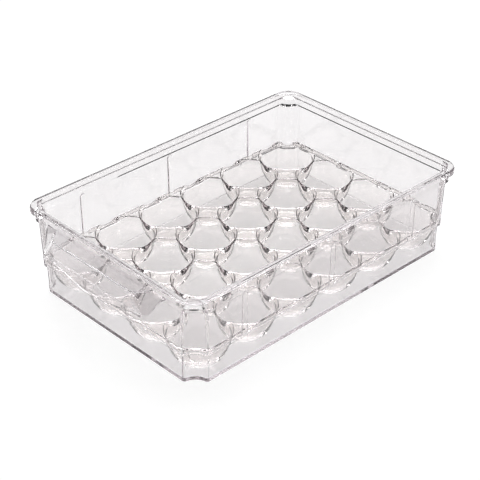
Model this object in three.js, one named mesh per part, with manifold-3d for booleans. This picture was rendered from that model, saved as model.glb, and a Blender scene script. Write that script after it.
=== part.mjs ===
// Clear plastic storage box with a lift-out tray of round cups.
// Millimetres, +Z up. X runs across the box, Y along it, and the pull handle is at the -Y end.
// The origin is under the middle of the whole object, so the box stands a little towards +Y of it.

import * as THREE from 'three';
import { mergeVertices } from 'three/addons/utils/BufferGeometryUtils.js';
import Module from 'manifold-3d';

// Cups
const cupsAcross = 4;
const cupsAlong = 6;
const cupPitch = 48;
const cupRimRadius = 25.8;
const cupThroatRadius = 23.6;
const cupThroatDepth = 4;
const cupBottomRadius = 9;
const cupWall = 1.2;
const cupBulgeRadiusShare = 0.87;
const cupBulgeDepthShare = 0.14;

// Tray
const deckHeight = 31.2;
const sideBorder = 0.4;
const endBorder = 2.2;
const trayGap = 0.3;

// Box
const boxHeight = 79;
const wall = 2;
const floorThickness = 2.2;
const ledgeHeight = 27;
const ledgeTread = 1.5;
const lowerFlare = 0.4;
const upperFlare = 0.9;
const notchRadius = 12.4;
const notchLobe = 3;
const notchLobeLeast = 0.2;
const baseEdge = 0.8;

// How much of the corner notch is left further up, from 1, all of it, to 0, a plain round corner
const stepNotchShare = 0.6;
const innerNotchShare = 0.25;
const rimNotchShare = 0.12;

// Rim: a flange with a shallower step under it, level with the wall inside
const flangeHeight = 6;
const flangeReach = 1.5;
const stepHeight = 6;
const stepReach = 1.1;
const rimFace = 5.3;
const rimCornerRadius = 14;
const rimEdge = 0.7;

// Ribs inside the long walls, at every second border between cups
const ribWidth = 5.6;
const ribDepth = 1.5;
const ribTopDrop = 11;
const ribSpacingInCups = 2;
const ribClearance = 0.6;

// Pull handle
const shelfDrop = 4.5;
const shelfReach = 13.7;
const shelfRootWidth = 119.3;
const shelfFrontWidth = 97.8;
const skirtHeight = 16.7;
const skirtLean = 0.9;
const skirtWidth = 117.4;
const cheekRootWidth = 143.2;
const cheekRootDrop = 1.9;
const cheekSag = 4;
const handleWall = 2;
const handleEdge = 1.2;
const handleCorner = 5;
const lipEndDrop = 1.2;
const lipMiddleDrop = 10.5;
const lipSetback = 0.3;
const handleRoot = 2;
const cheekKeptShare = 0.1;

// How finely the round shapes are divided
const lobeSteps = 4;
const notchSteps = 8;
const cupSides = 16;
const cupRings = 3;
const ribSteps = 6;
const lipSteps = 20;
const cheekSteps = 4;
const bendSteps = 4;

// Cuts run this far past what they cut
const overrun = 5;
const boxPlastic = { color: 0xf2eff1, roughness: 0.06, metalness: 0 };
const trayPlastic = { color: 0xf0e9ea, roughness: 0.08, metalness: 0 };

const wasm = await Module();
wasm.setup();

// Sizes that follow from the ones above
const trayHalf = {
  x: (cupsAcross * cupPitch) / 2 + sideBorder,
  y: (cupsAlong * cupPitch) / 2 + endBorder,
};
const upperWall = grown(trayHalf, trayGap + wall);
const lowerWall = grown(upperWall, -ledgeTread);
const base = grown(lowerWall, -lowerFlare);
const wallTop = grown(upperWall, upperFlare);
const step = grown(wallTop, stepReach);
const rim = grown(step, flangeReach);
const flangeBottom = boxHeight - flangeHeight;
const stepBottom = flangeBottom - stepHeight;
const rimWall = rimFace - flangeReach - stepReach;
const handleReach = shelfReach + skirtLean;
const cupBottom = floorThickness + trayGap + cupWall;

function grown(half, by) {
  return { x: half.x + by, y: half.y + by };
}

// A corner as distances inward from the corner point of the outer face, from one side to the other.
// Notched: a small lobe, a hollow quarter circle round the corner point, and a lobe again.
function notchedCorner(inset) {
  const lobeRadius = Math.max(notchLobe - inset, notchLobeLeast);
  const hollowRadius = notchRadius + inset;
  const near = inset + lobeRadius;
  const far = Math.sqrt((hollowRadius + lobeRadius) ** 2 - near ** 2);
  const turn = Math.atan2(far, near);
  const points = [];
  for (let i = 0; i < lobeSteps; i++) {
    const angle = Math.PI + (turn * i) / lobeSteps;
    points.push([near + lobeRadius * Math.cos(angle), far + lobeRadius * Math.sin(angle)]);
  }
  for (let i = 0; i <= notchSteps; i++) {
    const angle = turn + ((Math.PI / 2 - 2 * turn) * i) / notchSteps;
    points.push([hollowRadius * Math.cos(angle), hollowRadius * Math.sin(angle)]);
  }
  for (let i = lobeSteps - 1; i >= 0; i--) {
    const [across, along] = points[i];
    points.push([along, across]);
  }
  return points;
}

// The same number of points on a plain round corner.
function roundCorner(inset, radius) {
  const steps = 2 * lobeSteps + notchSteps;
  const points = [];
  for (let i = 0; i <= steps; i++) {
    const angle = ((Math.PI / 2) * i) / steps;
    points.push([inset + radius * (1 - Math.cos(angle)), inset + radius * (1 - Math.sin(angle))]);
  }
  return points;
}

// A closed outline at one height. The outer face has the given half sizes, inset moves the outline in
// from it, and notchShare goes from 0, a plain round corner, to 1, the full notch.
function outline(half, height, inset = 0, notchShare = 1, radius = rimCornerRadius) {
  const notched = notchedCorner(inset);
  const corner = roundCorner(inset, radius).map(([u, v], i) => [
    u + (notched[i][0] - u) * notchShare,
    v + (notched[i][1] - v) * notchShare,
  ]);
  const back = [...corner].reverse();
  const quarters = [[1, 1, corner], [-1, 1, back], [-1, -1, corner], [1, -1, back]];
  return quarters.flatMap(([signX, signY, points]) =>
    points.map(([u, v]) => new THREE.Vector3(signX * (half.x - u), signY * (half.y - v), height)));
}

function middleOf(row) {
  const sum = row.reduce((total, point) => total.add(point), new THREE.Vector3());
  return sum.divideScalar(row.length);
}

// A closed solid through rows of points, each seen anticlockwise from above, capped at both ends.
function loft(rows) {
  const count = rows[0].length;
  const points = [...rows.flat(), middleOf(rows[0]), middleOf(rows[rows.length - 1])];
  const bottomMiddle = rows.length * count;
  const topMiddle = bottomMiddle + 1;
  const lastRow = (rows.length - 1) * count;
  const index = [];
  for (let i = 0; i < count; i++) {
    const next = (i + 1) % count;
    index.push(bottomMiddle, next, i);
    index.push(topMiddle, lastRow + i, lastRow + next);
    for (let row = 0; row < lastRow; row += count) {
      index.push(row + i, row + next, row + count + next);
      index.push(row + i, row + count + next, row + count + i);
    }
  }
  const geometry = new THREE.BufferGeometry().setFromPoints(points);
  geometry.setIndex(index);
  return geometry;
}

function solid(geometry) {
  geometry.deleteAttribute('normal');
  geometry.deleteAttribute('uv');
  const merged = mergeVertices(geometry);
  return new wasm.Manifold(new wasm.Mesh({
    numProp: 3,
    vertProperties: new Float32Array(merged.attributes.position.array),
    triVerts: new Uint32Array(merged.index.array),
  }));
}

function meshOf(name, body, material) {
  const result = body.getMesh();
  const geometry = new THREE.BufferGeometry();
  geometry.setAttribute('position', new THREE.BufferAttribute(result.vertProperties, 3));
  geometry.setIndex(new THREE.BufferAttribute(result.triVerts, 1));
  geometry.computeVertexNormals();
  const mesh = new THREE.Mesh(geometry, new THREE.MeshStandardMaterial(material));
  mesh.name = name;
  mesh.position.y = handleReach / 2;
  return mesh;
}

// A straight-sided block with the box's notched outline, inset from the outer face of one wall.
function notchedBlock(half, inset, bottom, top) {
  return solid(loft([outline(half, bottom, inset), outline(half, top, inset)]));
}

// The tub: up the outside, over the rim and down the inside to the floor.
function tub() {
  const jogTop = ledgeHeight - wall / 2;
  const jogBottom = jogTop - ledgeTread;
  return solid(loft([
    outline(grown(base, -baseEdge), 0),
    outline(base, baseEdge),
    outline(lowerWall, jogBottom),
    outline(upperWall, jogTop),
    outline(wallTop, stepBottom),
    outline(step, stepBottom + stepReach, 0, stepNotchShare),
    outline(step, flangeBottom, 0, stepNotchShare),
    outline(rim, flangeBottom + rimEdge, 0, rimNotchShare),
    outline(rim, boxHeight - rimEdge, 0, 0),
    outline(grown(rim, -rimEdge), boxHeight, 0, 0, rimCornerRadius - rimEdge),
    outline(grown(rim, rimEdge - rimFace), boxHeight, 0, innerNotchShare),
    outline(grown(rim, -rimFace), boxHeight - rimEdge, 0, innerNotchShare),
    outline(wallTop, flangeBottom, rimWall, stepNotchShare),
    outline(wallTop, stepBottom, rimWall),
    outline(upperWall, ledgeHeight, wall),
    outline(lowerWall, ledgeHeight, wall),
    outline(base, floorThickness, wall),
  ]));
}

// How far along the box each pair of ribs stands, always between two cups.
function ribPlaces() {
  const places = [];
  const last = Math.floor((cupsAlong / 2 - 1) / ribSpacingInCups) * ribSpacingInCups;
  for (let cups = -last; cups <= last; cups += ribSpacingInCups) {
    places.push(cups * cupPitch);
  }
  return places;
}

// A half-round rib on the inner face of each long wall, standing on the ledge.
function ribs() {
  const top = boxHeight - ribTopDrop;
  const face = upperWall.x - wall;
  const root = face + wall / 2;
  const list = [];
  for (const along of ribPlaces()) {
    for (const side of [-1, 1]) {
      const shape = new THREE.Shape();
      shape.moveTo(side * root, along + (side * ribWidth) / 2);
      for (let i = 0; i <= ribSteps; i++) {
        const angle = (Math.PI * i) / ribSteps;
        const reach = face - ribDepth * Math.sin(angle);
        shape.lineTo(side * reach, along + (side * ribWidth * Math.cos(angle)) / 2);
      }
      shape.lineTo(side * root, along - (side * ribWidth) / 2);
      const foot = ledgeHeight - wall / 2;
      const rib = new THREE.ExtrudeGeometry(shape, { depth: top - foot, bevelEnabled: false });
      rib.translate(0, 0, foot);
      list.push(solid(rib));
    }
  }
  return list;
}

// Half of a handle edge, from the wall to the middle of the front: a cheek, a soft corner, the front.
function handleEdgeHalf(cheek, frontY, height) {
  const points = cheek.getPoints(cheekSteps);
  const front = points.pop();
  const before = points[points.length - 1];
  const cut = handleCorner / before.distanceTo(front);
  const start = front.clone().lerp(before, Math.min(cut, 1 - cheekKeptShare));
  const end = new THREE.Vector3(front.x + handleCorner, frontY, height);
  return [...points, ...new THREE.QuadraticBezierCurve3(start, front, end).getPoints(bendSteps)];
}

// A whole edge, from the -X end of the wall round the front to the +X end.
function handleRow(rootWidth, frontWidth, frontY, rootHeight, frontHeight, sag, rootY) {
  const root = new THREE.Vector3(-rootWidth / 2, rootY, rootHeight);
  const front = new THREE.Vector3(-frontWidth / 2, frontY, frontHeight);
  const middle = root.clone().lerp(front, 0.5);
  middle.z -= sag;
  const left = handleEdgeHalf(new THREE.QuadraticBezierCurve3(root, middle, front), frontY, frontHeight);
  const right = left.map((point) => new THREE.Vector3(-point.x, point.y, point.z)).reverse();
  return [...left, ...right];
}

// The pull handle: a flat shelf out from the rim with a skirt hanging from it, open below.
function handle() {
  const top = boxHeight - shelfDrop;
  const frontY = -(rim.y + shelfReach);
  const rootY = -(rim.y - handleRoot);
  const skirtY = frontY - skirtLean;
  const bottom = top - skirtHeight;
  const cheekBottom = top - cheekRootDrop;
  const lower = handleRow(cheekRootWidth, skirtWidth, skirtY, cheekBottom, bottom, cheekSag, rootY);
  const upper = handleRow(shelfRootWidth, shelfFrontWidth, frontY,
    top - handleEdge, top - handleEdge, 0, rootY);
  const face = handleRow(shelfRootWidth - handleEdge, shelfFrontWidth - handleEdge, frontY + handleEdge,
    top, top, 0, rootY);
  const outer = solid(loft([lower, upper, face]));

  const innerY = rootY + overrun;
  const narrowing = 2 * handleWall;
  const ceiling = handleRow(shelfRootWidth - narrowing, shelfFrontWidth - narrowing, frontY + handleWall,
    top - handleWall, top - handleWall, 0, innerY);
  const pastShare = 1 + overrun / skirtHeight;
  const below = ceiling.map((point, i) => {
    const lean = lower[i].clone().sub(upper[i]);
    return point.clone().addScaledVector(lean, pastShare);
  });
  const shell = outer.subtract(solid(loft([below, ceiling])));

  const lip = new THREE.Shape();
  lip.moveTo(skirtWidth / 2, bottom + handleWall);
  lip.lineTo(-skirtWidth / 2, bottom + handleWall);
  for (let i = 0; i <= lipSteps; i++) {
    const share = i / lipSteps;
    const bell = (1 - Math.cos(2 * Math.PI * share)) / 2;
    const drop = lipEndDrop + (lipMiddleDrop - lipEndDrop) * bell;
    lip.lineTo((share - 0.5) * skirtWidth, bottom - drop);
  }
  const plate = new THREE.ExtrudeGeometry(lip, { depth: handleWall, bevelEnabled: false });
  plate.rotateX(Math.PI / 2);
  plate.translate(0, skirtY + lipSetback + handleWall, 0);
  return shell.add(solid(plate));
}

// The inside of one cup, as a profile from the middle of its bottom to its mouth.
function cupProfile(offset) {
  const throat = new THREE.Vector2(cupThroatRadius + offset, deckHeight - cupThroatDepth);
  const foot = new THREE.Vector2(cupBottomRadius + offset, cupBottom - offset);
  const bulge = new THREE.Vector2(
    cupThroatRadius * cupBulgeRadiusShare + offset,
    cupBottom + (deckHeight - cupBottom) * cupBulgeDepthShare - offset,
  );
  const side = new THREE.QuadraticBezierCurve(foot, bulge, throat).getPoints(cupRings);
  return [
    new THREE.Vector2(0, cupBottom - offset),
    ...side,
    new THREE.Vector2(cupRimRadius + offset, deckHeight),
  ];
}

function revolve(profile) {
  const last = profile[profile.length - 1];
  return solid(new THREE.LatheGeometry([...profile, new THREE.Vector2(0, last.y)], cupSides)
    .rotateX(Math.PI / 2));
}

function cupPlaces() {
  const places = [];
  for (let across = 0; across < cupsAcross; across++) {
    for (let along = 0; along < cupsAlong; along++) {
      places.push([
        (across - (cupsAcross - 1) / 2) * cupPitch,
        (along - (cupsAlong - 1) / 2) * cupPitch,
      ]);
    }
  }
  return places;
}

// The tray: a deck with a short skirt that rests on the ledge, and a cup under each round opening.
function tray() {
  const inset = wall + trayGap;
  const skirtBottom = ledgeHeight + trayGap;
  const deck = notchedBlock(upperWall, inset, skirtBottom, deckHeight)
    .subtract(notchedBlock(upperWall, inset + cupWall, skirtBottom - overrun, deckHeight - cupWall));
  const mouth = new THREE.Vector2(cupRimRadius, deckHeight + overrun);
  const outerCup = revolve(cupProfile(cupWall));
  const innerCup = revolve([...cupProfile(0), mouth]);
  const places = cupPlaces();
  const outerCups = wasm.Manifold.union(places.map(([x, y]) => outerCup.translate([x, y, 0])));
  const innerCups = wasm.Manifold.union(places.map(([x, y]) => innerCup.translate([x, y, 0])));
  const cupSpace = notchedBlock(base, inset, 0, deckHeight - cupWall / 2)
    .add(notchedBlock(upperWall, inset, skirtBottom, deckHeight - cupWall / 2));
  const hollowSpace = notchedBlock(base, inset + cupWall, 0, skirtBottom + 2 * cupWall)
    .add(notchedBlock(upperWall, 0, skirtBottom + cupWall, deckHeight + 2 * overrun));
  const slots = [];
  const depth = ribDepth + ribClearance - trayGap;
  for (const along of ribPlaces()) {
    const slot = new THREE.BoxGeometry(2 * depth, ribWidth + 2 * ribClearance, deckHeight);
    for (const side of [-1, 1]) {
      slots.push(solid(slot.clone().translate(side * trayHalf.x, along, deckHeight)));
    }
  }
  return deck.add(outerCups.intersect(cupSpace))
    .subtract(innerCups.intersect(hollowSpace))
    .subtract(wasm.Manifold.union(slots));
}

function boxBody() {
  return wasm.Manifold.union([tub(), handle(), ...ribs()]);
}

const eggBox = new THREE.Group();
eggBox.add(meshOf('box_body', boxBody(), boxPlastic));
eggBox.add(meshOf('egg_tray', tray(), trayPlastic));

export default eggBox;
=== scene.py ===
# %% [markdown]
# A clear storage box with a lift-out tray of cups, modelled by hand in Blender.
#
# The real thing is two mouldings of clear plastic: a box with a thick rim, cut-back corners and a
# pull handle, and a tray of 24 round cups that lifts out of it. A fixed frame of plain solids gives
# both pieces their place and size. This file models the fine surfaces over that frame: rounded rim,
# thin walls, ribs, cups with soft lips, and the clear plastic itself.

# %% Load the frame
import math

import bmesh
import bpy
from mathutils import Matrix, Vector


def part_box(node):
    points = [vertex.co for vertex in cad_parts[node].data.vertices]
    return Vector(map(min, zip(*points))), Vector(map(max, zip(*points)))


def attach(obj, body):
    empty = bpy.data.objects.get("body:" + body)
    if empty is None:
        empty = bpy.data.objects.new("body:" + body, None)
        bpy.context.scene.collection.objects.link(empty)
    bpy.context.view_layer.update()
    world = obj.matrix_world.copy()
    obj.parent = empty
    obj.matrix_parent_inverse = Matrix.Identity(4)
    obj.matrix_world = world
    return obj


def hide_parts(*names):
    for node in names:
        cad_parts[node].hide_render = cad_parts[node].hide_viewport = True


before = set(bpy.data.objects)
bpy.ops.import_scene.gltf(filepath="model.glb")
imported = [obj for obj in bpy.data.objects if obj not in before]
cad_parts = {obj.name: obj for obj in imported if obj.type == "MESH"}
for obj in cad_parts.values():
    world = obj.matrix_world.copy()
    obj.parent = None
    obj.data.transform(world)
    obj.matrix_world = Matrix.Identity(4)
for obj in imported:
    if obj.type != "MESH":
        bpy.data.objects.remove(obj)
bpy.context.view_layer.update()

# %% [markdown]
# Sizes are in millimetres, and one function turns a place in millimetres into Blender's metres. The
# box's overall size is read from the frame. The handle sticks out at the -Y end, so the middle of
# the rim lies a little towards +Y of the middle of the whole object.

# %% Driving sizes
MM = 0.001

BOX_LOW, BOX_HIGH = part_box("box_body")
TRAY_LOW, TRAY_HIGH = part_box("egg_tray")
BOX_HEIGHT = BOX_HIGH.z / MM
HANDLE_REACH = 14.6
RIM = (BOX_HIGH.x / MM, (BOX_HIGH.y - BOX_LOW.y) / MM / 2 - HANDLE_REACH / 2)
RIM_MIDDLE_Y = BOX_HIGH.y / MM - RIM[1]

WALL = 2.0
FLOOR = 2.2
LEDGE = 27.0
LEDGE_TREAD = 1.5
LOWER_FLARE = 0.4
UPPER_FLARE = 0.9
FLANGE_HEIGHT = 6.0
FLANGE_REACH = 1.5
FLANGE_SLOPE = 0.7
STEP_HEIGHT = 6.0
STEP_REACH = 1.1
RIM_FACE = 5.3
RIM_WALL = RIM_FACE - FLANGE_REACH - STEP_REACH


def mm(x, y, z):
    return (x * MM, y * MM, z * MM)


def grown(half, by):
    return (half[0] + by, half[1] + by)


STEP = grown(RIM, -FLANGE_REACH)
WALL_TOP = grown(STEP, -STEP_REACH)
UPPER_WALL = grown(WALL_TOP, -UPPER_FLARE)
LOWER_WALL = grown(UPPER_WALL, -LEDGE_TREAD)
BASE = grown(LOWER_WALL, -LOWER_FLARE)
print("rim", [round(2 * v, 1) for v in RIM], "base", [round(2 * v, 1) for v in BASE])

# %% [markdown]
# An operator works on whatever is selected, so each step starts from a clean selection. These
# helpers pick one object, pick edges or faces by a test, and apply a modifier.

# %% Selection helpers


def deselect():
    for obj in list(bpy.context.selected_objects):
        obj.select_set(False)


def pick(*objects):
    deselect()
    for obj in objects:
        obj.select_set(True)
    bpy.context.view_layer.objects.active = objects[0]


def edit(obj):
    pick(obj)
    bpy.ops.object.mode_set(mode="EDIT")


def leave():
    bpy.ops.object.mode_set(mode="OBJECT")


def select_where(obj, kind, test):
    """In edit mode, select only the verts, edges or faces that pass the test."""
    bpy.ops.mesh.select_mode(type={"verts": "VERT", "edges": "EDGE", "faces": "FACE"}[kind])
    bpy.ops.mesh.select_all(action="DESELECT")
    mesh = bmesh.from_edit_mesh(obj.data)
    chosen = [item for item in getattr(mesh, kind) if test(item)]
    for item in chosen:
        item.select_set(True)
    mesh.select_flush_mode()
    bmesh.update_edit_mesh(obj.data)
    return len(chosen)


def apply_modifier(obj, kind, **settings):
    pick(obj)
    modifier = obj.modifiers.new(kind.title(), kind)
    for name, value in settings.items():
        setattr(modifier, name, value)
    bpy.ops.object.modifier_apply(modifier=modifier.name)


print("helpers ready")

# %% [markdown]
# The outline of the box at any height is a rectangle with cut-back corners: a small lobe, a hollow
# quarter circle round the corner point, and a lobe again. It is drawn as one quarter, the way one
# would do it by hand: put down a point, extrude it along the wall, spin it round the centre of each
# arc, extrude it to the middle of the next wall. A mirror modifier makes the other three quarters.
#
# The notch fades out towards the rim. A share of 1 is the full notch; a smaller share moves the
# hollow's centre out past the corner and makes the lobes larger.

# %% Draw an outline
NOTCH_RADIUS = 12.4
NOTCH_LOBE = 3.0
LOBE_LEAST = 0.2
NOTCH_SHIFT = 4.67
LOBE_GROWTH = 7.4
RIM_CORNER = 14.0
LOBE_STEPS = 6
HOLLOW_STEPS = 16
QUARTER = math.pi / 2


def start_point(name, x, y, z):
    deselect()
    bpy.ops.mesh.primitive_plane_add(size=MM)
    obj = bpy.context.object
    obj.name = name
    bpy.ops.object.mode_set(mode="EDIT")
    bpy.ops.mesh.select_mode(type="VERT")
    bpy.ops.mesh.select_all(action="SELECT")
    bpy.ops.mesh.merge(type="CENTER")
    bpy.ops.transform.translate(value=mm(x, y, z))
    return obj


def draw_by(x, y, z=0.0):
    bpy.ops.mesh.extrude_region_move(TRANSFORM_OT_translate={"value": mm(x, y, z)})


def turn_about(x, y, z, angle, steps):
    """Spin the end of the line, anticlockwise seen from above for a positive angle."""
    bpy.ops.mesh.spin(steps=steps, angle=-angle, center=mm(x, y, z), axis=(0, 0, 1))


def notch_line(half, z, inset, share):
    radius = NOTCH_RADIUS + inset
    shift = NOTCH_SHIFT * (1 - share)
    lobe = max(NOTCH_LOBE + LOBE_GROWTH * (1 - share) - inset, LOBE_LEAST)
    near = inset + lobe
    far = math.sqrt((radius + lobe) ** 2 - (near + shift) ** 2) - shift
    turn = math.atan2(far + shift, near + shift)
    x, y = half
    draw_by(0, y - far)
    turn_about(x - near, y - far, z, turn, LOBE_STEPS)
    turn_about(x + shift, y + shift, z, QUARTER - 2 * turn, HOLLOW_STEPS)
    turn_about(x - far, y - near, z, turn, LOBE_STEPS)
    draw_by(-(x - far), 0)


def round_line(half, z, inset, radius):
    x, y = grown(half, -inset - radius)
    draw_by(0, y)
    turn_about(x, y, z, QUARTER, 2 * LOBE_STEPS + HOLLOW_STEPS)
    draw_by(-x, 0)


def outline(name, half, z, inset=0.0, share=1.0):
    obj = start_point(name, half[0] - inset, 0, z)
    if share > 0:
        notch_line(half, z, inset, share)
    else:
        round_line(half, z, inset, RIM_CORNER)
    leave()
    apply_modifier(obj, "MIRROR", use_axis=(True, True, False), merge_threshold=MM / 100)
    return obj


test_line = outline("test_line", BASE, 0)
print("one outline has", len(test_line.data.vertices), "points")
bpy.data.objects.remove(test_line)

# %% [markdown]
# The tub is a skin stretched over such outlines: up the outside, over the rim and down the inside
# to the floor. Each outline carries the radius to which its edge is rounded later. Bridging one
# pair of outlines at a time keeps the faces in order. Bridging twists two rings that lie in one
# plane round a common middle, so each flat ledge is drawn a hair out of level.

# %% The tub's outlines, from the underside over the rim to the floor inside
JOG_TOP = LEDGE - WALL / 2
JOG_BOTTOM = JOG_TOP - LEDGE_TREAD
FLANGE_BOTTOM = BOX_HEIGHT - FLANGE_HEIGHT
STEP_BOTTOM = FLANGE_BOTTOM - STEP_HEIGHT
STEP_SHARE = 0.6
INNER_SHARE = 0.25
HAIR = 0.02
BASE_EDGE = 0.8
WALL_EDGE = 0.5
CREASE = 0.4
SEAT_EDGE = 0.3
FLANGE_EDGE = 0.6
RIM_EDGE = 1.6
FLOOR_EDGE = 1.0

tub_lines = [
    # half sizes, height, inset, notch share, edge radius
    (BASE, 0.0, 0.0, 1.0, BASE_EDGE),
    (LOWER_WALL, JOG_BOTTOM, 0.0, 1.0, WALL_EDGE),
    (UPPER_WALL, JOG_TOP, 0.0, 1.0, WALL_EDGE),
    (WALL_TOP, STEP_BOTTOM, 0.0, 1.0, CREASE),
    (STEP, STEP_BOTTOM + STEP_REACH, 0.0, STEP_SHARE, WALL_EDGE),
    (STEP, FLANGE_BOTTOM, 0.0, STEP_SHARE, CREASE),
    (RIM, FLANGE_BOTTOM + FLANGE_SLOPE, 0.0, 0.0, FLANGE_EDGE),
    (RIM, BOX_HEIGHT, 0.0, 0.0, RIM_EDGE),
    (grown(RIM, -RIM_FACE), BOX_HEIGHT - HAIR, 0.0, INNER_SHARE, WALL_EDGE),
    (WALL_TOP, FLANGE_BOTTOM, RIM_WALL, STEP_SHARE, 0.0),
    (WALL_TOP, STEP_BOTTOM, RIM_WALL, 1.0, 0.0),
    (UPPER_WALL, LEDGE + HAIR, WALL, 1.0, SEAT_EDGE),
    (LOWER_WALL, LEDGE, WALL, 1.0, WALL_EDGE),
    (BASE, FLOOR, WALL, 1.0, FLOOR_EDGE),
]


def widest_edge(lines):
    return max(line[4] for line in lines)


def skin_over(name, lines):
    parts = [outline(f"{name}_{i}", *line[:4]) for i, line in enumerate(lines)]
    count = len(parts[0].data.vertices)
    pick(*parts)
    bpy.ops.object.join()
    obj = bpy.context.object
    obj.name = name
    bpy.ops.object.mode_set(mode="EDIT")
    for i in range(len(lines) - 1):
        low, high = i * count, (i + 2) * count
        select_where(obj, "edges", lambda e: all(low <= v.index < high for v in e.verts)
                     and e.verts[0].index // count == e.verts[1].index // count)
        bpy.ops.mesh.bridge_edge_loops()
    for i in (0, len(lines) - 1):
        select_where(obj, "edges", lambda e: all(v.index // count == i for v in e.verts))
        bpy.ops.mesh.edge_face_add()
    for i, line in enumerate(lines):
        if line[4] > 0:
            select_where(obj, "edges", lambda e: all(v.index // count == i for v in e.verts))
            bpy.ops.transform.edge_bevelweight(value=line[4] / widest_edge(lines))
    bpy.ops.mesh.select_all(action="SELECT")
    bpy.ops.mesh.normals_make_consistent(inside=False)
    leave()
    return obj


tub = skin_over("clear_box", tub_lines)
print("tub before rounding:", len(tub.data.vertices), "points,", len(tub.data.polygons), "faces")

# %% [markdown]
# The Bevel modifier rounds each edge by its own weight, as a share of the widest radius.

# %% Round the tub's edges
TUB_EDGE_STEPS = 5

apply_modifier(tub, "BEVEL", limit_method="WEIGHT", width=widest_edge(tub_lines) * MM,
               segments=TUB_EDGE_STEPS, use_clamp_overlap=True)
print("tub rounded:", len(tub.data.polygons), "faces")

# %% [markdown]
# Pieces are put together with the Boolean modifier. Its Manifold solver is fast and keeps closed
# meshes closed. The piece that was used up is deleted.

# %% Join, cut and place


def combine(obj, other, operation):
    apply_modifier(obj, "BOOLEAN", operation=operation, solver="MANIFOLD", object=other)
    bpy.data.objects.remove(other)


def move(obj, x, y, z):
    edit(obj)
    bpy.ops.mesh.select_all(action="SELECT")
    bpy.ops.transform.translate(value=mm(x, y, z))
    leave()


def outward(obj):
    edit(obj)
    bpy.ops.mesh.select_all(action="SELECT")
    bpy.ops.mesh.remove_doubles(threshold=MM / 1000)
    bpy.ops.mesh.normals_make_consistent(inside=False)
    leave()


def open_edges(obj):
    mesh = bmesh.new()
    mesh.from_mesh(obj.data)
    count = sum(1 for edge in mesh.edges if len(edge.link_faces) != 2)
    mesh.free()
    return count


print("tub has", open_edges(tub), "open edges")

# %% [markdown]
# Ribs stand inside the long walls between every second pair of cups. A rib is drawn as a narrow arch
# on the wall: up one side, over the top with a spin, down the other side. The arch is filled,
# extruded out of the wall, leaned back with the wall and rounded.

# %% Ribs
CUP_PITCH = 48.0
CUPS_ACROSS = 4
CUPS_ALONG = 6
RIB_WIDTH = 5.6
RIB_DEPTH = 1.45
RIB_ROUND = 0.9
RIB_TOP_DROP = 11.0
RIB_TOP = BOX_HEIGHT - RIB_TOP_DROP
RIB_SINK = 0.6
RIB_STEPS = 12
RIB_EDGE_STEPS = 5
RIB_SHARP_FROM = math.radians(60)
RIB_ROWS = (-2, 0, 2)


def rib(side, row):
    radius = RIB_WIDTH / 2
    foot = LEDGE - RIB_SINK
    shoulder = RIB_TOP - radius
    wall = side * (UPPER_WALL[0] - WALL + RIB_SINK)
    obj = start_point("rib", wall, row * CUP_PITCH - radius, foot)
    draw_by(0, 0, shoulder - foot)
    bpy.ops.mesh.spin(steps=RIB_STEPS, angle=math.pi, center=mm(wall, row * CUP_PITCH, shoulder),
                      axis=(1, 0, 0))
    draw_by(0, 0, foot - shoulder)
    bpy.ops.mesh.select_all(action="SELECT")
    bpy.ops.mesh.edge_face_add()
    bpy.ops.mesh.select_mode(type="FACE")
    draw_by(-side * (RIB_DEPTH + RIB_SINK), 0)
    select_where(obj, "verts", lambda v: v.co.z > foot * MM + MM / 100)
    bpy.ops.transform.translate(value=mm(side * UPPER_FLARE, 0, 0))
    leave()
    outward(obj)
    apply_modifier(obj, "BEVEL", width=RIB_ROUND * MM, segments=RIB_EDGE_STEPS, limit_method="ANGLE",
                   angle_limit=RIB_SHARP_FROM)
    return obj


for side in (-1, 1):
    for row in RIB_ROWS:
        combine(tub, rib(side, row), "UNION")
print("tub with ribs has", open_edges(tub), "open edges")

# %% [markdown]
# The pull handle is a shelf that juts from the rim, with a skirt hung from its edge. Both run back
# to the rim in two cheeks. It is drawn as three lines from one side to the other, the skirt's lower
# edge, the shelf's edge and the line where the shelf meets the rim. They are bridged to a skin, and
# the skin is given its thickness inwards.

# %% Handle
HANDLE_WALL = 2.0
SHELF_DROP = 4.5
SHELF_TOP = BOX_HEIGHT - SHELF_DROP
SHELF_ROOT = 59.65
SHELF_FRONT = 48.9
SKIRT_FRONT = 58.7
CHEEK_ROOT = 71.6
CHEEK_ROOT_DROP = 1.9
SKIRT_HEIGHT = 16.7
SKIRT_LEAN = 0.9
HANDLE_ROOT = 2.0
HANDLE_CORNER = 5.0
FRONT_Y = -(RIM[1] + HANDLE_REACH - SKIRT_LEAN)
SKIRT_Y = FRONT_Y - SKIRT_LEAN
ROOT_Y = -(RIM[1] - HANDLE_ROOT)
SKIRT_BOTTOM = SHELF_TOP - SKIRT_HEIGHT
CHEEK_STEPS = 8
CORNER_STEPS = 5
FRONT_STEPS = 12
CHEEK_START_SHARE = 0.45
CHEEK_END_SHARE = 0.5
HANDLE_EDGE = 0.9
LIP_EDGE = 0.8
HANDLE_EDGE_STEPS = 5
HANDLE_SHARP_FROM = math.radians(40)


def bezier(points, share):
    """A point on the curve that the given points pull, by de Casteljau's construction."""
    while len(points) > 1:
        points = [a.lerp(b, share) for a, b in zip(points, points[1:])]
    return points[0]


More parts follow.
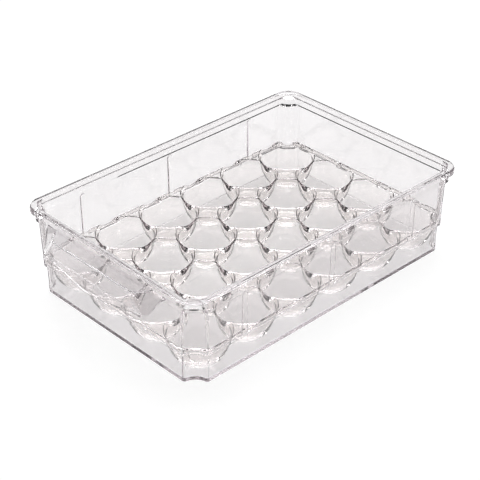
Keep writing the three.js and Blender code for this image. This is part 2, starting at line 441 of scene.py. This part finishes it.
def handle_line(name, root, front, s_curve):
    """One edge of the handle from -X round the front to +X: cheek, soft corner, front."""
    level = Vector((front.x, front.y, root.z))
    start = root.lerp(level, CHEEK_START_SHARE) if s_curve else root.lerp(front, CHEEK_START_SHARE)
    drop = Vector((root.x, root.y, front.z))
    end = front.lerp(drop, CHEEK_END_SHARE) if s_curve else front.lerp(root, CHEEK_END_SHARE)
    cheek_end = front.lerp(end, HANDLE_CORNER / (front - end).length)
    cheek = [bezier([root, start, end, cheek_end], i / CHEEK_STEPS) for i in range(CHEEK_STEPS)]
    front_start = Vector((front.x + HANDLE_CORNER, front.y, front.z))
    corner = [bezier([cheek_end, front, front_start], i / CORNER_STEPS) for i in range(CORNER_STEPS)]
    middle = Vector((0, front.y, front.z))
    half = cheek + corner + [front_start.lerp(middle, i / FRONT_STEPS) for i in range(FRONT_STEPS)]
    points = half + [middle] + [Vector((-p.x, p.y, p.z)) for p in reversed(half)]
    return draw_through(name, points)


def draw_through(name, points):
    obj = start_point(name, *points[0])
    for before, after in zip(points, points[1:]):
        draw_by(*(after - before))
    leave()
    return obj


def bridge(name, *lines):
    """Bridge open lines of equal length, in order, to one skin."""
    count = len(lines[0].data.vertices)
    pick(*lines)
    bpy.ops.object.join()
    obj = bpy.context.object
    obj.name = name
    bpy.ops.object.mode_set(mode="EDIT")
    for i in range(len(lines) - 1):
        select_where(obj, "edges", lambda e: e.verts[0].index // count == e.verts[1].index // count
                     and e.verts[0].index // count in (i, i + 1))
        bpy.ops.mesh.bridge_edge_loops()
    leave()
    return obj


def soften(obj, radius):
    apply_modifier(obj, "BEVEL", width=radius * MM, segments=HANDLE_EDGE_STEPS, limit_method="ANGLE",
                   angle_limit=HANDLE_SHARP_FROM)


def face_up(obj, reference):
    """Turn the skin so that its face nearest the reference direction points that way."""
    edit(obj)
    bpy.ops.mesh.select_all(action="SELECT")
    bpy.ops.mesh.normals_make_consistent(inside=False)
    mesh = bmesh.from_edit_mesh(obj.data)
    largest = max(mesh.faces, key=lambda face: abs(face.normal.dot(reference)))
    if largest.normal.dot(reference) < 0:
        bpy.ops.mesh.flip_normals()
    leave()


skirt_edge = handle_line("skirt_edge", Vector((-CHEEK_ROOT, ROOT_Y, SHELF_TOP - CHEEK_ROOT_DROP)),
                         Vector((-SKIRT_FRONT, SKIRT_Y, SKIRT_BOTTOM)), True)
shelf_edge = handle_line("shelf_edge", Vector((-SHELF_ROOT, ROOT_Y, SHELF_TOP)),
                         Vector((-SHELF_FRONT, FRONT_Y, SHELF_TOP)), False)
count = len(shelf_edge.data.vertices)
shelf_root = draw_through("shelf_root", [
    Vector((SHELF_ROOT * (2 * i / (count - 1) - 1), ROOT_Y, SHELF_TOP)) for i in range(count)])
handle = bridge("handle", skirt_edge, shelf_edge, shelf_root)
face_up(handle, Vector((0, 0, 1)))
print("handle skin:", len(handle.data.polygons), "faces")
apply_modifier(handle, "SOLIDIFY", thickness=HANDLE_WALL * MM, offset=-1.0, use_even_offset=True)
outward(handle)
soften(handle, HANDLE_EDGE)
print("handle:", len(handle.data.polygons), "faces,", open_edges(handle), "open edges")

# %% [markdown]
# A lip hangs from the skirt in a shallow bell shape. Its lower edge is drawn straight, subdivided,
# and pulled down at the middle with proportional editing, whose smooth falloff makes the bell. Then
# the edge is extruded up, scaled flat and given its thickness.

# %% Lip
LIP_END_DROP = 1.2
LIP_MIDDLE_DROP = 10.5
LIP_SETBACK = 0.3
LIP_CUTS = 31

lip = start_point("lip", -SKIRT_FRONT, SKIRT_Y + LIP_SETBACK, SKIRT_BOTTOM - LIP_END_DROP)
draw_by(2 * SKIRT_FRONT, 0)
bpy.ops.mesh.select_all(action="SELECT")
bpy.ops.mesh.subdivide(number_cuts=LIP_CUTS)
select_where(lip, "verts", lambda v: abs(v.co.x) < MM / 10)
bpy.ops.transform.translate(value=mm(0, 0, LIP_END_DROP - LIP_MIDDLE_DROP), use_proportional_edit=True,
                            proportional_edit_falloff="SMOOTH", proportional_size=SKIRT_FRONT * MM)
bpy.ops.mesh.select_mode(type="EDGE")
bpy.ops.mesh.select_all(action="SELECT")
bpy.ops.mesh.extrude_edges_move(TRANSFORM_OT_translate={"value": mm(0, 0, LIP_MIDDLE_DROP)})
bpy.ops.transform.resize(value=(1, 1, 0), center_override=mm(0, SKIRT_Y, SKIRT_BOTTOM + HANDLE_WALL))
leave()
face_up(lip, Vector((0, -1, 0)))
apply_modifier(lip, "SOLIDIFY", thickness=HANDLE_WALL * MM, offset=-1.0)
outward(lip)
soften(lip, LIP_EDGE)
print("lip:", [round(v / MM, 1) for v in lip.dimensions], open_edges(lip), "open edges")

combine(handle, lip, "UNION")
combine(tub, handle, "UNION")
move(tub, 0, RIM_MIDDLE_Y, 0)
print("box:", len(tub.data.polygons), "faces,", open_edges(tub), "open edges")

# %% [markdown]
# The tray starts as a thin deck with a short skirt that rests on the box's ledge. One skin makes it:
# the ceiling under the deck, down to the skirt's lower edge, across, and up to the top.

# %% Deck
CUP_WALL = 1.2
TRAY_GAP = 0.3
DECK = TRAY_HIGH.z / MM
TRAY_INSET = WALL + TRAY_GAP
SKIRT_FOOT = LEDGE + TRAY_GAP
SKIRT_EDGE = 0.3
DECK_EDGE = 0.5
DECK_EDGE_STEPS = 3

deck_lines = [
    (UPPER_WALL, DECK - CUP_WALL, TRAY_INSET + CUP_WALL, 1.0, 0.0),
    (UPPER_WALL, SKIRT_FOOT + HAIR, TRAY_INSET + CUP_WALL, 1.0, 0.0),
    (UPPER_WALL, SKIRT_FOOT, TRAY_INSET, 1.0, SKIRT_EDGE),
    (UPPER_WALL, DECK, TRAY_INSET, 1.0, DECK_EDGE),
]
tray = skin_over("cup_tray", deck_lines)
apply_modifier(tray, "BEVEL", limit_method="WEIGHT", width=widest_edge(deck_lines) * MM,
               segments=DECK_EDGE_STEPS)
print("deck:", len(tray.data.polygons), "faces,", open_edges(tray), "open edges")

# %% [markdown]
# A cup is turned on a lathe: half of its section is drawn as a line and spun once round. The inside
# is a deep bowl with a small flat bottom, a crease at the throat and a short cone up to the deck,
# whose edge is rounded over. The outside keeps the wall's thickness all the way.

# %% Cup sections
CUP_RIM = 25.8
CUP_THROAT = 23.6
THROAT_DEPTH = 4.0
CUP_FOOT = 9.0
CUP_BOTTOM = FLOOR + TRAY_GAP + CUP_WALL
BULGE_RADIUS_SHARE = 0.87
BULGE_DEPTH_SHARE = 0.14
MOUTH_ROUND = 1.0
THROAT_ROUND = 0.8
CUP_STEPS = 64
BOWL_STEPS = 12
ROUND_STEPS = 4
OVERRUN = 5.0


def rounded(points, corner, radius):
    """Replace one corner of a section by a short curve that starts and ends a radius away."""
    before, here, after = points[corner - 1:corner + 2]
    start = here.lerp(before, radius / (before - here).length)
    end = here.lerp(after, radius / (after - here).length)
    arc = [bezier([start, here, end], i / ROUND_STEPS) for i in range(ROUND_STEPS + 1)]
    return points[:corner] + arc + points[corner + 1:]


def cup_section(offset):
    foot = Vector((CUP_FOOT + offset, 0, CUP_BOTTOM - offset))
    bulge = Vector((CUP_THROAT * BULGE_RADIUS_SHARE + offset, 0,
                    CUP_BOTTOM + (DECK - CUP_BOTTOM) * BULGE_DEPTH_SHARE - offset))
    throat = Vector((CUP_THROAT + offset, 0, DECK - THROAT_DEPTH))
    bowl = [bezier([foot, bulge, throat], i / BOWL_STEPS) for i in range(BOWL_STEPS + 1)]
    return [Vector((0, 0, CUP_BOTTOM - offset))] + bowl + [Vector((CUP_RIM + offset, 0, DECK))]


def turned(name, section):
    """Spin a section that starts and ends on the axis into a closed solid."""
    obj = draw_through(name, section)
    edit(obj)
    bpy.ops.mesh.select_all(action="SELECT")
    bpy.ops.mesh.spin(steps=CUP_STEPS, angle=math.tau, center=(0, 0, 0), axis=(0, 0, 1))
    leave()
    outward(obj)
    return obj


def to_axis(section):
    return section + [Vector((0, 0, section[-1].z))]


outer = cup_section(CUP_WALL)
outer = to_axis(rounded(outer, len(outer) - 2, THROAT_ROUND))
inner = cup_section(0.0) + [Vector((CUP_RIM + 2 * MOUTH_ROUND, 0, DECK))]
inner = rounded(inner, len(inner) - 2, MOUTH_ROUND)
inner = rounded(inner, len(inner) - ROUND_STEPS - 3, THROAT_ROUND)[:-1]
inner = to_axis(inner + [Vector((inner[-1].x, 0, DECK + OVERRUN))])
cup_outside = turned("cup_outside", outer)
cup_inside = turned("cup_inside", inner)
print("cup:", len(cup_outside.data.polygons), "and", len(cup_inside.data.polygons), "faces",
      open_edges(cup_outside), open_edges(cup_inside))

# %% [markdown]
# Neighbouring cups run into each other, and a Boolean wants each of its meshes free of overlaps.
# Cups that touch only at a diagonal don't overlap, so the copies are joined in two sets, like the
# two colours of a chessboard. Both sets are trimmed to the room inside the box.

# %% Copy the cups and cut the tray


def cup_set(cup, colour):
    copies = []
    for across in range(CUPS_ACROSS):
        for along in range(CUPS_ALONG):
            if (across + along) % 2 == colour:
                copy = bpy.data.objects.new(cup.name, cup.data.copy())
                bpy.context.collection.objects.link(copy)
                move(copy, (across - (CUPS_ACROSS - 1) / 2) * CUP_PITCH,
                     (along - (CUPS_ALONG - 1) / 2) * CUP_PITCH, 0)
                copies.append(copy)
    pick(*copies)
    bpy.ops.object.join()
    return bpy.context.object


def all_cups(cup, room):
    cups = cup_set(cup, 0)
    combine(cups, cup_set(cup, 1), "UNION")
    combine(cups, room, "INTERSECT")
    bpy.data.objects.remove(cup)
    return cups


outer_room = skin_over("outer_room", [
    (BASE, 0.0, TRAY_INSET, 1.0, 0.0),
    (BASE, SKIRT_FOOT, TRAY_INSET, 1.0, 0.0),
    (UPPER_WALL, SKIRT_FOOT + HAIR, TRAY_INSET, 1.0, 0.0),
    (UPPER_WALL, DECK - CUP_WALL / 2, TRAY_INSET, 1.0, 0.0),
])
inner_room = skin_over("inner_room", [
    (BASE, 0.0, TRAY_INSET + CUP_WALL, 1.0, 0.0),
    (BASE, SKIRT_FOOT + CUP_WALL, TRAY_INSET + CUP_WALL, 1.0, 0.0),
    (UPPER_WALL, SKIRT_FOOT + CUP_WALL + HAIR, 0.0, 1.0, 0.0),
    (UPPER_WALL, DECK + 2 * OVERRUN, 0.0, 1.0, 0.0),
])
combine(tray, all_cups(cup_outside, outer_room), "UNION")
print("with cups:", len(tray.data.polygons), "faces,", open_edges(tray), "open edges")
combine(tray, all_cups(cup_inside, inner_room), "DIFFERENCE")
print("hollowed:", len(tray.data.polygons), "faces,", open_edges(tray), "open edges")

# %% [markdown]
# Slots in the tray's edge let it pass the box's ribs. Each is cut by a cylinder squashed to an ellipse.

# %% Slots
RIB_CLEARANCE = 0.6
SLOT_DEPTH = RIB_DEPTH + RIB_CLEARANCE - TRAY_GAP
SLOT_RADIUS = RIB_WIDTH / 2 + RIB_CLEARANCE
SLOT_SIDES = 32

for side in (-1, 1):
    for row in RIB_ROWS:
        deselect()
        bpy.ops.mesh.primitive_cylinder_add(vertices=SLOT_SIDES, radius=SLOT_RADIUS * MM, depth=DECK * MM)
        slot = bpy.context.object
        edit(slot)
        bpy.ops.mesh.select_all(action="SELECT")
        bpy.ops.transform.resize(value=(SLOT_DEPTH / SLOT_RADIUS, 1, 1))
        bpy.ops.transform.translate(value=mm(side * (UPPER_WALL[0] - TRAY_INSET), row * CUP_PITCH, DECK))
        leave()
        combine(tray, slot, "DIFFERENCE")
move(tray, 0, RIM_MIDDLE_Y, 0)
print("tray:", len(tray.data.polygons), "faces,", open_edges(tray), "open edges")

# %% [markdown]
# Both pieces are shaded smooth, except where two faces meet at more than a set angle. Smooth shading
# alone would bend the light on a large flat face towards its narrow rounded edge. Normals weighted by
# face area keep the flat faces flat and leave the bend to the edges.

# %% Shade smooth
SHARP_FROM = math.radians(35)

for piece in (tub, tray):
    pick(piece)
    bpy.ops.object.shade_smooth_by_angle(angle=SHARP_FROM)
    apply_modifier(piece, "WEIGHTED_NORMAL", mode="FACE_AREA", keep_sharp=True)
print("shaded")

# %% [markdown]
# Clear plastic is a transmitting Principled shader. Injection-moulded walls aren't perfectly flat:
# the melt leaves faint waves, and handling leaves faint rubs, so bump and roughness vary a little.

# %% Shader maths


class Socket:
    """A wrapper round a shader output, so that maths can be written as Python."""

    def __init__(self, nodes, output):
        self.nodes = nodes
        self.output = output

    def math(self, operation, other):
        return self.nodes.add("ShaderNodeMath", {"operation": operation}, {0: self, 1: other})

    def __add__(self, other):
        return self.math("ADD", other)

    def __mul__(self, other):
        return self.math("MULTIPLY", other)


class Nodes:
    """Adds nodes to one material."""

    def __init__(self, name):
        self.material = bpy.data.materials.new(name)
        self.material.use_nodes = True
        self.tree = self.material.node_tree
        self.tree.nodes.clear()

    def add(self, kind, settings=None, inputs=None, output=0):
        node = self.tree.nodes.new(kind)
        for name, value in (settings or {}).items():
            setattr(node, name, value)
        for name, value in (inputs or {}).items():
            if isinstance(value, Socket):
                self.tree.links.new(value.output, node.inputs[name])
            else:
                node.inputs[name].default_value = value
        return Socket(self, node.outputs[output]) if node.outputs else node


print("shader maths ready")

# %% [markdown]
# Each plastic has a tint that the waves shift a little, and a volume that absorbs green the most. So
# light that runs along inside a wall comes out with a faint purple tinge.

# %% Clear plastic
WAVE_SCALE = 28.0
WAVE_DETAIL = 1.0
WAVE_STRENGTH = 0.06
WAVE_DEPTH = 2.0
RUB_SCALE = 420.0
RUB_DETAIL = 3.0
GLASS_SMOOTH = 0.01
RUBBED = 0.03
PLASTIC_IOR = 1.52
BOX_TINT = (0.92, 0.909, 0.913, 1)
BOX_DEEP_TINT = (0.9, 0.889, 0.893, 1)
BOX_VOLUME = (0.8, 0.72, 0.76, 1)
BOX_DENSITY = 3.0
TRAY_TINT = (1, 0.99, 0.985, 1)
TRAY_DEEP_TINT = (0.99, 0.98, 0.975, 1)
TRAY_VOLUME = (0.8, 0.71, 0.73, 1)
TRAY_DENSITY = 4.0


def clear_plastic(name, tint, deep_tint, volume, density):
    nodes = Nodes(name)
    place = nodes.add("ShaderNodeTexCoord", output="Object")
    waves = nodes.add("ShaderNodeTexNoise",
                      inputs={"Vector": place, "Scale": WAVE_SCALE, "Detail": WAVE_DETAIL})
    rubs = nodes.add("ShaderNodeTexNoise",
                     inputs={"Vector": place, "Scale": RUB_SCALE, "Detail": RUB_DETAIL})
    bump = nodes.add("ShaderNodeBump",
                     inputs={"Strength": WAVE_STRENGTH, "Distance": WAVE_DEPTH * MM, "Height": waves})
    colour = nodes.add("ShaderNodeMix", {"data_type": "RGBA"},
                       {"Factor": waves, "A": deep_tint, "B": tint}, output=2)
    shader = nodes.add("ShaderNodeBsdfPrincipled", inputs={
        "Base Color": colour,
        "Roughness": rubs * RUBBED + GLASS_SMOOTH,
        "IOR": PLASTIC_IOR,
        "Transmission Weight": 1.0,
        "Normal": bump,
    })
    inside = nodes.add("ShaderNodeVolumeAbsorption", inputs={"Color": volume, "Density": density})
    nodes.add("ShaderNodeOutputMaterial", inputs={"Surface": shader, "Volume": inside})
    return nodes.material


box_plastic = clear_plastic("clear_box_plastic", BOX_TINT, BOX_DEEP_TINT, BOX_VOLUME, BOX_DENSITY)
tray_plastic = clear_plastic("clear_tray_plastic", TRAY_TINT, TRAY_DEEP_TINT, TRAY_VOLUME, TRAY_DENSITY)
for piece, plastic in ((tub, box_plastic), (tray, tray_plastic)):
    piece.data.materials.clear()
    piece.data.materials.append(plastic)
print("plastics on")

# %% [markdown]
# Each piece rides on its body and stands for its plain solid.

# %% Tie the pieces to the frame
for piece, body, node, slot_name in ((tub, "box", "box_body", "box_plastic"),
                                     (tray, "tray", "egg_tray", "tray_plastic")):
    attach(piece, body)
    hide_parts(node)
print("pieces ride")

# %% [markdown]
# The photo was taken from in front of one corner, about 33 degrees above the floor, with a long
# lens.

# %% Camera
CAMERA_AT = mm(724.2, -698.3 + RIM_MIDDLE_Y, 665.0)
CAMERA_TARGET = mm(-4.6, -3.5 + RIM_MIDDLE_Y, 24.0)
LENS = 106.05
NEAREST_SEEN = 10.0

deselect()
bpy.ops.object.camera_add(location=CAMERA_AT)
camera = bpy.context.object
camera.rotation_euler = (Vector(CAMERA_TARGET) - Vector(CAMERA_AT)).to_track_quat("-Z", "Y").to_euler()
camera.data.lens = LENS
camera.data.clip_start = NEAREST_SEEN * MM
bpy.context.scene.camera = camera
print("camera distance", round((Vector(CAMERA_TARGET) - Vector(CAMERA_AT)).length, 3))

# %% [markdown]
# The floor glows softly, like a light table, so the clear box casts no hard shadow on it. It lies a
# hair under the box. A floor that touched the clear base would be seen through it without the air
# between them, and look far too bright.

# %% Floor
FLOOR_GAP = 0.3
FLOOR_SIDE = 5200.0
FLOOR_COLOUR = (0.1, 0.1, 0.1, 1)
FLOOR_ROUGHNESS = 0.9
FLOOR_GLOW_COLOUR = (1, 1, 1, 1)
FLOOR_GLOW = 0.94

deselect()
bpy.ops.mesh.primitive_plane_add(size=FLOOR_SIDE * MM, location=mm(0, 0, -FLOOR_GAP))
floor = bpy.context.object
floor.name = "floor"
nodes = Nodes("pale_floor")
pale = nodes.add("ShaderNodeBsdfPrincipled", inputs={
    "Base Color": FLOOR_COLOUR, "Roughness": FLOOR_ROUGHNESS,
    "Emission Color": FLOOR_GLOW_COLOUR, "Emission Strength": FLOOR_GLOW})
nodes.add("ShaderNodeOutputMaterial", inputs={"Surface": pale})
floor.data.materials.append(nodes.material)
print("floor ready")

# %% [markdown]
# One large softbox hangs overhead, a soft panel stands behind, where the rim mirrors it, and a narrow
# one stands at the side. The room around them is dim, and the clear edges bend it into dark lines.
# Light runs along inside a clear wall from side to side, so the render lets it bounce many times. A
# tone curve sets the thin lines off from the pale walls.

# %% Lights
SOFT_LIGHTS = [
    # name, place, width and length in millimetres, power in watts
    ("overhead", (-500, 550, 1700), (1600, 1500), 34.0),
    ("back", (-1400, 1330, 1220), (1400, 1000), 3.0),
    ("side", (-1800, -600, 1200), (120, 1000), 3.5),
]
ROOM_COLOUR = (0.9, 0.92, 0.95, 1)
ROOM_GLOW = 0.08
TONE_GAMMA = 0.7
LIGHT_BOUNCES = 128


def soft_light(name, place, size, power):
    deselect()
    bpy.ops.object.light_add(type="AREA", location=mm(*place))
    light = bpy.context.object
    light.name = name
    light.data.shape = "RECTANGLE"
    light.data.size = size[0] * MM
    light.data.size_y = size[1] * MM
    light.data.energy = power
    light.rotation_euler = (-Vector(place)).to_track_quat("-Z", "Y").to_euler()


for soft in SOFT_LIGHTS:
    soft_light(*soft)
scene = bpy.context.scene
scene.world = bpy.data.worlds.new("room")
scene.world.use_nodes = True
background = scene.world.node_tree.nodes["Background"]
background.inputs["Color"].default_value = ROOM_COLOUR
background.inputs["Strength"].default_value = ROOM_GLOW
scene.view_settings.view_transform = "Standard"
scene.view_settings.gamma = TONE_GAMMA
scene.cycles.max_bounces = LIGHT_BOUNCES
scene.cycles.transmission_bounces = LIGHT_BOUNCES
scene.cycles.glossy_bounces = LIGHT_BOUNCES
print("lights on:", len(SOFT_LIGHTS))
